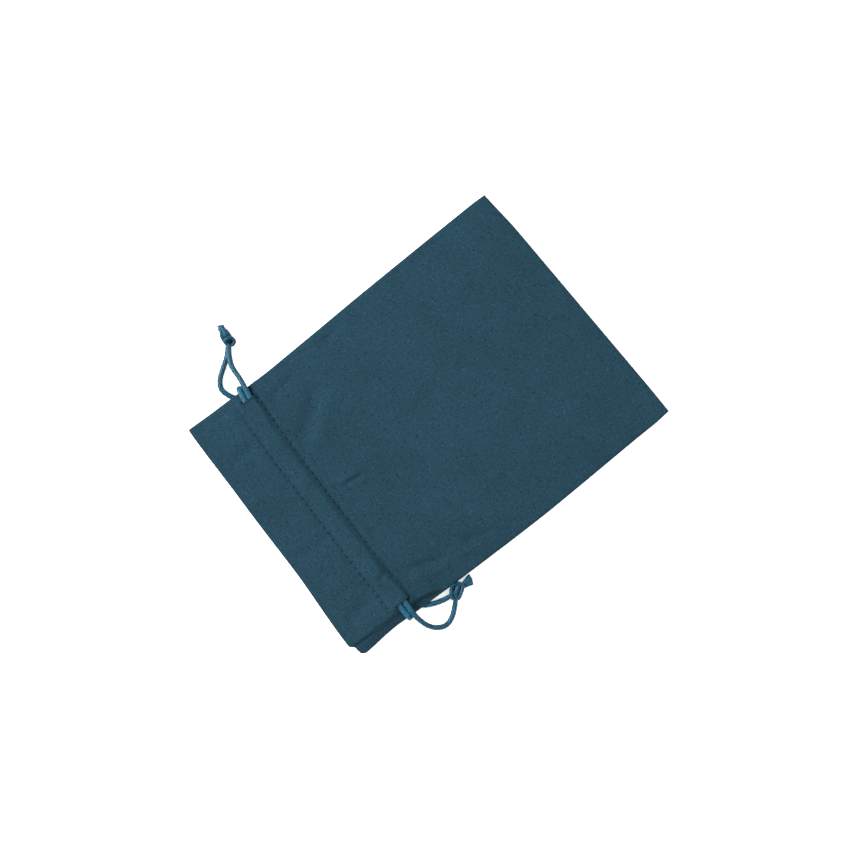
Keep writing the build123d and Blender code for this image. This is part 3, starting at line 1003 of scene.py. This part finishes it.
def pits(x, y):
    """1 in a needle hole of the two rows, 0 elsewhere."""
    pitches = (x - LAST_HOLE_X) / STITCH
    column = np.abs(pitches - np.round(pitches)) * STITCH
    total = np.zeros_like(x)
    for which in ("closed_side", "mouth_side"):
        total = total + bell(column / (0.42 * MM)) * bell((y - row_y(x, which)) / (0.38 * MM))
    return np.clip(total, 0, 1) * (np.abs(x) < LAST_HOLE_X + 0.8 * MM)


# ---- sheets of cloth


def steps(start, stop, step):
    """Values from start about step apart, without the last, which is stop."""
    return list(np.linspace(start, stop, max(2, int(round((stop - start) / step)) + 1)))[:-1]


EDGE_STEPS = np.array([0.0, 0.05, 0.18, 0.4, 0.7, 1.1, 1.6]) * MM


def nominal_columns(side):
    """X of the grid's columns from the middle to one edge, fine at the holes, the slit and the edge."""
    edge = abs(float(side_edge(side, CHANNEL_Y)))
    columns = steps(0, SLIT_X - 1.8 * MM, STITCH / 4) + steps(SLIT_X - 1.8 * MM, SLIT_X, 0.45 * MM)
    slit_at = len(columns)
    columns += steps(SLIT_X, edge - EDGE_STEPS[-1], 0.4 * MM)
    columns += list(edge - EDGE_STEPS[::-1])
    return np.array(columns) / edge, slit_at


# where each stretch of the grid's rows starts and its step, in millimetres
ROW_STEPS = [
    (-103.5, 1.3), (-80, 0.6), (-77.6, 0.3), (-74.2, 0.5), (-65.2, 0.3), (-61.2, 0.6), (-55, 1.5), (-20, 2.2),
]


def nominal_rows():
    """Y of the grid's rows, fine at the stitches, the slits and the closed end."""
    stops = [start * MM for start, _ in ROW_STEPS[1:]] + [CLOSED_Y - EDGE_STEPS[-1]]
    rows = []
    for (start, step), stop in zip(ROW_STEPS, stops):
        rows += steps(start * MM, stop, step * MM)
    return np.array(rows + list(CLOSED_Y - EDGE_STEPS[::-1]))


def place_rows(side, shares, rows, mouth):
    """X and Y of the grid points: columns follow the side edge, rows follow the mouth and the closed end."""
    y0, share = np.meshgrid(rows, shares, indexing="ij")
    y = y0.copy()
    for _ in range(3):
        x = side * share * np.abs(side_edge(side, y))
        near_mouth = ease(-y0, 80, 20)
        near_closed = np.clip((y0 + 50 * MM) / (CLOSED_Y + 50 * MM), 0, 1)
        y = y0 + (mouth(x) - MOUTH_Y) * near_mouth + (closed_edge(x) - CLOSED_Y) * near_closed
    return x, y


def unit(vectors):
    return vectors / np.maximum(np.linalg.norm(vectors, axis=1), 1e-15)[:, None]


def quad_normals(points, quads):
    p = points[quads]
    return np.cross(p[:, 2] - p[:, 0], p[:, 3] - p[:, 1])


def vertex_normals(points, quads):
    normal = quad_normals(points, quads)
    total = np.zeros_like(points)
    for k in range(4):
        np.add.at(total, quads[:, k], normal)
    return unit(total)


def open_edges(quads):
    """The edges that only one face uses."""
    edges = np.concatenate([quads[:, [0, 1]], quads[:, [1, 2]], quads[:, [2, 3]], quads[:, [3, 0]]])
    _, first, uses = np.unique(np.sort(edges, axis=1), axis=0, return_index=True, return_counts=True)
    return edges[first[uses == 1]]


def rim_quads(edges, count):
    """Faces from edges of the outer surface to the inner one, whose points come count numbers later."""
    return stack(edges[:, 1], edges[:, 0], edges[:, 0] + count, edges[:, 1] + count)


def renumber(faces, count):
    """Which of the count points the faces use, and the faces in the numbers of just those."""
    used = np.unique(faces)
    remap = np.full(count, -1)
    remap[used] = np.arange(len(used))
    return used, remap[faces]


class Cloth:
    """A sheet of cloth as a set of grids that share points, thickened at the end and cut in halves."""

    def __init__(self):
        self.points, self.flat, self.quads, self.count = [], [], [], 0

    def add(self, points, flat):
        """Put a grid of points in, and return their numbers."""
        index = np.arange(points.shape[0] * points.shape[1]).reshape(points.shape[:2]) + self.count
        self.points.append(points.reshape(-1, 3))
        self.flat.append(flat.reshape(-1, 2))
        self.count += index.size
        return index

    def cover(self, index, flip):
        a, b, c, d = index[:-1, :-1], index[:-1, 1:], index[1:, 1:], index[1:, :-1]
        self.quads.append(stack(*((a, d, c, b) if flip else (a, b, c, d))).reshape(-1, 4))

    def solid(self):
        """The closed surface: (points, faces, flat coordinates, corner normals)."""
        points, flat, quads = np.vstack(self.points), np.vstack(self.flat), np.vstack(self.quads)
        used, quads = renumber(quads, len(points))
        points, flat = points[used], flat[used]
        normals = vertex_normals(points, quads)
        count = len(points)
        rims = rim_quads(open_edges(quads), count)
        everything = np.vstack([points, points - normals * CLOTH])
        faces = np.vstack([quads, quads[:, ::-1] + count, rims])
        corner_normals = np.vstack([normals, -normals])[faces]
        corner_normals[-len(rims):] = unit(quad_normals(everything, rims))[:, None]
        return everything, faces, np.vstack([flat, flat]), corner_normals


BLEND_END = {"left": (-HALF_WIDTH, 0, 0), "right": (HALF_WIDTH, 0, 0)}


def bent(piece, node, side):
    """The piece stands for the node, and bends with the cloth of its side."""
    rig.replaces(piece, node)
    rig.blend(piece, "pouch", f"{side}_side", start=(0, 0, 0), end=BLEND_END[side])


def middle_rim(points, faces):
    """Faces that close a half along the middle, where the two halves meet, and their corner normals."""
    count = len(points) // 2
    edges = open_edges(faces)
    rim = rim_quads(edges[(edges < count).all(1)], count)
    return rim, np.repeat(np.array([[1.0, 0, 0]]), 4 * len(rim), axis=0)


def cloth_halves(name, node, cloth, pit=None):
    """Both halves of a sheet as pieces that bend from the middle to their own side."""
    points, faces, flat, normals = cloth.solid()
    middle = points[faces].mean(1)[:, 0]
    halves = []
    for side, chosen in (("left", middle < 0), ("right", middle > 0)):
        ends, end_normals = middle_rim(points, faces[chosen])
        used, own = renumber(np.vstack([faces[chosen], ends]), len(points))
        piece = add_mesh(
            f"{name}_{side}", points[used], own.tolist(), cloth_material, "cloth", flat[used],
            {"pit": pit(points[used, 0], points[used, 1]) if pit else np.zeros(len(used))},
            np.vstack([normals[chosen].reshape(-1, 3), end_normals]),
        )
        bent(piece, node, side)
        halves.append(piece)
    return halves


def pack(x, y, z):
    """Points, and their flat coordinates."""
    return stack(x, y, z), stack(x, y)


def both_sides(shares, rows, mouth):
    """X and Y from the left edge to the right edge, with the middle column only once."""
    left_x, left_y = place_rows(-1, shares["left"], rows, mouth)
    right_x, right_y = place_rows(1, shares["right"], rows, mouth)
    return np.hstack([left_x[:, ::-1], right_x[:, 1:]]), np.hstack([left_y[:, ::-1], right_y[:, 1:]])


GAPE = {-1: 1.5 * MM, 1: 0.8 * MM}
FOLD_RADIUS = CLOTH + LAYER_GAP / 2
# the turn stops this many columns short of the side edge, where the cloth is too steep for it
FOLD_INSET = 3
FOLD_TURNS = np.radians([30, 60, 90, 120, 150, 180])
PIT_DEPTH = 0.45 * MM


def slit_sheet(height, mouth, is_front):
    """A panel with a slit at each side. The front has needle holes, and its mouth edge turns under."""
    flip = not is_front
    cloth = Cloth()
    left, left_slit = nominal_columns(-1)
    right, right_slit = nominal_columns(1)
    rows = nominal_rows()
    x, y = both_sides({"left": left, "right": right}, rows, mouth)
    cut_left, cut_right = len(left) - 1 - left_slit, len(left) - 1 + right_slit
    z = height(x, y, np.zeros_like(x, bool))
    points, flat = pack(x, y, z)
    if is_front:
        points[..., 2] -= PIT_DEPTH * pits(x, y)
    index = cloth.add(points, flat)
    cloth.cover(index[:, cut_left : cut_right + 1], flip)
    for side, columns, cut in ((-1, slice(0, cut_left + 1), -1), (1, slice(cut_right, None), 0)):
        ox, oy = x[:, columns], y[:, columns]
        oz = height(ox, oy, np.ones_like(ox, bool))
        away = 1 - np.clip((np.abs(ox) - SLIT_X) / (4 * MM), 0, 1)
        gaped = ox + side * GAPE[side] * slit_share(oy) * away**2
        outer_points, outer_flat = pack(gaped, oy, oz)
        outer = cloth.add(outer_points, outer_flat)
        joined = slit_share(oy[:, cut]) <= 0
        outer[joined, cut] = index[joined, cut_left if side < 0 else cut_right]
        cloth.cover(outer, flip)
        if is_front:
            inner_columns = slice(FOLD_INSET, None) if side < 0 else slice(None, -FOLD_INSET)
            add_mouth_fold(cloth, outer[:, inner_columns], outer_points[:, inner_columns], flip)
    if is_front:
        span = slice(cut_left, cut_right + 1)
        add_mouth_fold(cloth, index[:, span], points[:, span], flip)
    return cloth


def add_mouth_fold(cloth, index, points, flip):
    """The mouth edge's turn, from the top of the outer cloth down to the level of the facing."""
    first = points[0]
    turned = []
    for angle in FOLD_TURNS:
        y = first[:, 1] - FOLD_RADIUS * math.sin(angle)
        z = first[:, 2] - FOLD_RADIUS * (1 - math.cos(angle))
        turned.append(stack(first[:, 0], y, z))
    grid = np.array(turned[::-1])
    flat = stack(grid[..., 0], grid[..., 1] - 2 * FOLD_RADIUS)
    new = cloth.add(grid, flat)
    cloth.cover(np.vstack([new, index[:1]]), flip)


front_panel = cloth_halves("front_panel", "front_panel", slit_sheet(front_height, mouth_edge, True), pits)
back_panel = cloth_halves("back_panel", "back_panel", slit_sheet(back_height, back_mouth_edge, False))

HEM_INSET = 3.0 * MM


def facing_sheet(height, mouth, flip):
    """The part turned inside at the mouth, out to the hem's edge."""
    cloth = Cloth()
    shares = {}
    for name, side in (("left", -1), ("right", 1)):
        edge = abs(float(side_edge(side, CHANNEL_Y)))
        shares[name] = np.array(steps(0, edge - HEM_INSET, 1.6 * MM) + [edge - HEM_INSET]) / edge
    rows = [r for r in nominal_rows()[::2] if r < HEM_EDGE_Y] + [HEM_EDGE_Y]
    x, y = both_sides(shares, np.array(rows), mouth)
    points, flat = pack(x, y, height(x, y))
    cloth.cover(cloth.add(points, flat), flip)
    return cloth


def front_facing_height(x, y):
    """Underside of the front facing: flat under the channel, just below the outer cloth elsewhere."""
    outer = np.abs(x) > SLIT_X
    z = front_height(x, y, outer)
    run = 2.6 * MM
    start, stop = TUNNEL_Y[0] + TUNNEL_DRIFT - run, TUNNEL_Y[1] + run
    tunnel = smooth((y - start) / run) * smooth((stop - y) / run)
    flat_level = np.minimum(z, HEADER_TOP - 0.2 * MM - 0.9 * MM * ease(np.abs(x), 58, 8))
    z = z + (flat_level - z) * np.where(outer, 0, tunnel)
    return z - 2 * CLOTH - LAYER_GAP


def back_facing_height(x, y):
    """Top of the back facing: over the cords in the channel, just above the outer cloth elsewhere."""
    outer = np.abs(x) > SLIT_X
    base = back_height(x, y, outer) + CLOTH
    run = 3.0 * MM
    tunnel = smooth((y - TUNNEL_Y[0] + run) / run) * smooth((TUNNEL_Y[1] + run - y) / run)
    z = np.where(outer, base, base + np.maximum(BACK_TUNNEL_TOP - base, 0) * tunnel)
    return z + CLOTH + LAYER_GAP


front_lining = facing_sheet(front_facing_height, mouth_edge, True)
front_facing = cloth_halves("front_facing", "front_hem", front_lining)
back_lining = facing_sheet(back_facing_height, back_mouth_edge, False)
back_facing = cloth_halves("back_facing", "back_hem", back_lining)

# ---- threads and seams


STITCH_POINTS = 8


def stitch_path(start, stop, pitch, surface, way, lift, sink):
    """A thread over a surface (way 1) or under it (way -1): away from it between the holes, and into each."""
    count = max(1, int(round(abs(stop - start) / pitch)))
    at = np.linspace(start, stop, count * STITCH_POINTS + 1)
    phase = np.abs(np.sin(math.pi * count * (at - start) / (stop - start)))
    points = surface(at)
    points[:, 2] += way * (lift - (lift + sink) * (1 - phase) ** 1.5)
    return points


def thread(points, radius=THREAD_R, sides=6):
    return tube(points, radius, sides=sides)


def channel_row(face, which):
    """A row of lock stitches through the outer cloth and the facing, in two halves."""
    way = 1 if face == "front" else -1

    def outside(at):
        y = row_y(at, which)
        return stack(at, y, front_height(at, y, False) if way > 0 else back_height(at, y, False))

    def inside(at):
        y = row_y(at, which)
        return stack(at, y, front_facing_height(at, y) - CLOTH if way > 0 else back_facing_height(at, y))

    node = f"{face}_channel_stitching_{which}"
    for name in ("left", "right"):
        stop = side_of(name) * LAST_HOLE_X
        parts = [
            thread(stitch_path(0.0, stop, STITCH, surface, out, 0.06 * MM, 0.9 * MM))
            for surface, out in ((outside, way), (inside, -way))
        ]
        bent(tube_piece(f"{node}_{name}", parts, thread_material, "thread"), node, name)


for face_name in ("front", "back"):
    for row_name in ("closed_side", "mouth_side"):
        channel_row(face_name, row_name)

WHIP_PITCH = 0.62 * MM
WHIP_THREAD = 0.12 * MM
WHIP_REACH = 0.55 * MM
TURN_POINTS = 10


def slit_binding(face, name):
    """Close whip stitches over the lip of a slit."""
    side = side_of(name)
    low, high = SLIT_Y[0] + 0.7 * MM, SLIT_Y[1] - 0.9 * MM
    turns = (high - low) / WHIP_PITCH
    t = np.linspace(0, 1, int(turns * TURN_POINTS))
    y = low + (high - low) * t
    angle = 2 * math.pi * turns * t
    x = side * (SLIT_X - 0.40 * MM + WHIP_REACH * np.cos(angle))
    edge_x = np.full_like(y, side * SLIT_X)
    if face == "front":
        level = front_height(edge_x, y, False) - CLOTH / 2
    else:
        level = np.maximum(back_height(edge_x, y, False) + CLOTH / 2, 0.50 * MM)
    z = level + (CLOTH / 2 + 0.08 * MM) * np.sin(angle)
    node = f"{face}_{name}_slit_stitching"
    whip = [thread(stack(x, y, z), WHIP_THREAD, 5)]
    bent(tube_piece(node + "_whip", whip, thread_material, "thread"), node, name)


for face_name in ("front", "back"):
    for end_name in ("left", "right"):
        slit_binding(face_name, end_name)

ALLOWANCE = 8.5 * MM
CLOSED_SEAM_REACH = 66 * MM
SEAM_START = 0.7 * MM
SEAM_SPLIT = 0.03 * MM
SEAM_INSET = 2.2 * MM
SEAM_STITCH = 2.6 * MM
LOCK_PITCH = 2.0 * MM
LOCK_THREAD = 0.15 * MM


def side_seam_place(name):
    """Points of a side's seam allowance, from how far along it and how far in they are."""
    side = side_of(name)

    def place(y, inwards, up):
        x = side_edge(side, y) - side * inwards
        z = edge_level(x, y) - 0.9 * MM * smooth(inwards / ALLOWANCE) + up
        return stack(x, y + 0 * x, z + 0 * x)

    return place


def closed_seam_place(x, inwards, up):
    y = closed_edge(x) - inwards
    z = edge_level(x, y) - 0.5 * MM * smooth(inwards / ALLOWANCE) + up
    return stack(x + 0 * y, y, z)


def seam_pieces(node, place, start, stop, side_name, prefix):
    """Two layers of allowance, the stitches that close them and the overlock along their raw edge."""
    rows = steps(start, stop, 2.5 * MM) + [stop]
    along, inwards = np.meshgrid(rows, np.linspace(SEAM_START, ALLOWANCE, 7), indexing="ij")
    layers = Cloth()
    # the grid of the left side and of the closed end runs the other way round
    order = side_name == "left" or node.startswith("closed")
    for level, flip in ((SEAM_SPLIT + CLOTH, False), (-SEAM_SPLIT - CLOTH, True)):
        layers.cover(layers.add(place(along, inwards, level), stack(inwards, along)), flip == order)
    points, faces, flat, normals = layers.solid()
    strip = add_mesh(
        f"{node}_{prefix}allowance", points, faces.tolist(), cloth_material, "cloth", flat,
        {"pit": np.zeros(len(points))}, normals.reshape(-1, 3),
    )
    bent(strip, node, side_name)
    lines = []
    for level in (1, -1):
        def surface(at):
            return place(at, np.full_like(at, SEAM_INSET), level * (CLOTH + SEAM_SPLIT))

        lines.append(thread(stitch_path(start, stop, SEAM_STITCH, surface, level, 0.10 * MM, 0.30 * MM)))
    base = "closed_end" if node.startswith("closed") else f"{side_name}_seam"
    stitches = tube_piece(f"{base}_stitching_{prefix}thread", lines, thread_material, "thread")
    bent(stitches, f"{base}_stitching", side_name)
    turns = abs(stop - start) / LOCK_PITCH
    t = np.linspace(0, 1, int(turns * TURN_POINTS))
    angle = 2 * math.pi * turns * t
    run = start + (stop - start) * t
    across = ALLOWANCE - 0.9 * MM + 1.1 * MM * np.cos(angle)
    high = (CLOTH + SEAM_SPLIT + 0.14 * MM) * np.sin(angle)
    edge_line = place(run, np.full_like(t, ALLOWANCE + 0.22 * MM), 0.18 * MM * np.sin(angle * 2))
    loops = [thread(line, LOCK_THREAD, 5) for line in (place(run, across, high), edge_line)]
    lock = tube_piece(f"{base}_overlock_{prefix}loops", loops, overlock_material, "overlock_thread")
    bent(lock, f"{base}_overlock", side_name)


for end_name in ("left", "right"):
    seam = f"{end_name}_side_seam"
    low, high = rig.box(seam)
    seam_pieces(seam, side_seam_place(end_name), low.y, high.y, end_name, "")
    reach = CLOSED_SEAM_REACH * side_of(end_name)
    seam_pieces("closed_end_seam", closed_seam_place, 0.0, reach, end_name, end_name + "_")

# ---- what the cloth pieces are

for halves, depth, on in (
    (front_panel, 207 * MM, ["back_facing_left"]), (back_panel, 204 * MM, ["floor"]),
    (front_facing, 44 * MM, ["back_facing_left"]), (back_facing, 42 * MM, ["back_panel_left"]),
):
    for piece in halves:
        inset = HEM_INSET if halves in (front_facing, back_facing) else 0.0
        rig.sheet(piece, flat=(HALF_WIDTH - inset, depth), held="laid", rests_on=on)

# ---- floor and light


FLOOR_HALF = 4.0
FLOOR_DROP = 0.05 * MM


def add_floor():
    mesh = bpy.data.meshes.new("floor")
    corners = [(-FLOOR_HALF, -FLOOR_HALF, 0), (FLOOR_HALF, -FLOOR_HALF, 0)]
    corners += [(FLOOR_HALF, FLOOR_HALF, 0), (-FLOOR_HALF, FLOOR_HALF, 0)]
    mesh.from_pydata(corners, [], [(0, 1, 2, 3)])
    mesh.materials.append(floor_material)
    floor = add_object("floor", mesh)
    floor.location.z = -FLOOR_DROP
    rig.stage(floor)


def add_light(name, place, size, power):
    """A round area light that points at the origin."""
    data = bpy.data.lights.new(name, "AREA")
    data.shape = "DISK"
    data.size = size
    data.energy = power
    light = add_object(name, data)
    light.location = place
    light.rotation_mode = "QUATERNION"
    light.rotation_quaternion = (-Vector(place)).to_track_quat("-Z", "Y")


def add_world():
    world = bpy.data.worlds.new("studio")
    world.use_nodes = True
    background = world.node_tree.nodes["Background"]
    background.inputs["Color"].default_value = (1, 1, 1, 1)
    background.inputs["Strength"].default_value = 1.0
    bpy.context.scene.world = world


add_floor()
add_light("key", place=(-1.9, -1.55, 2.35), size=0.95, power=181)
add_light("fill", place=(0.6, 0.8, 1.6), size=1.4, power=4)
add_world()
bpy.context.scene.view_settings.view_transform = "Standard"

json.dump({"cad": [list(c) for c in cad_box], "visual": [list(c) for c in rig.bounds()]}, open("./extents.json", "w"))
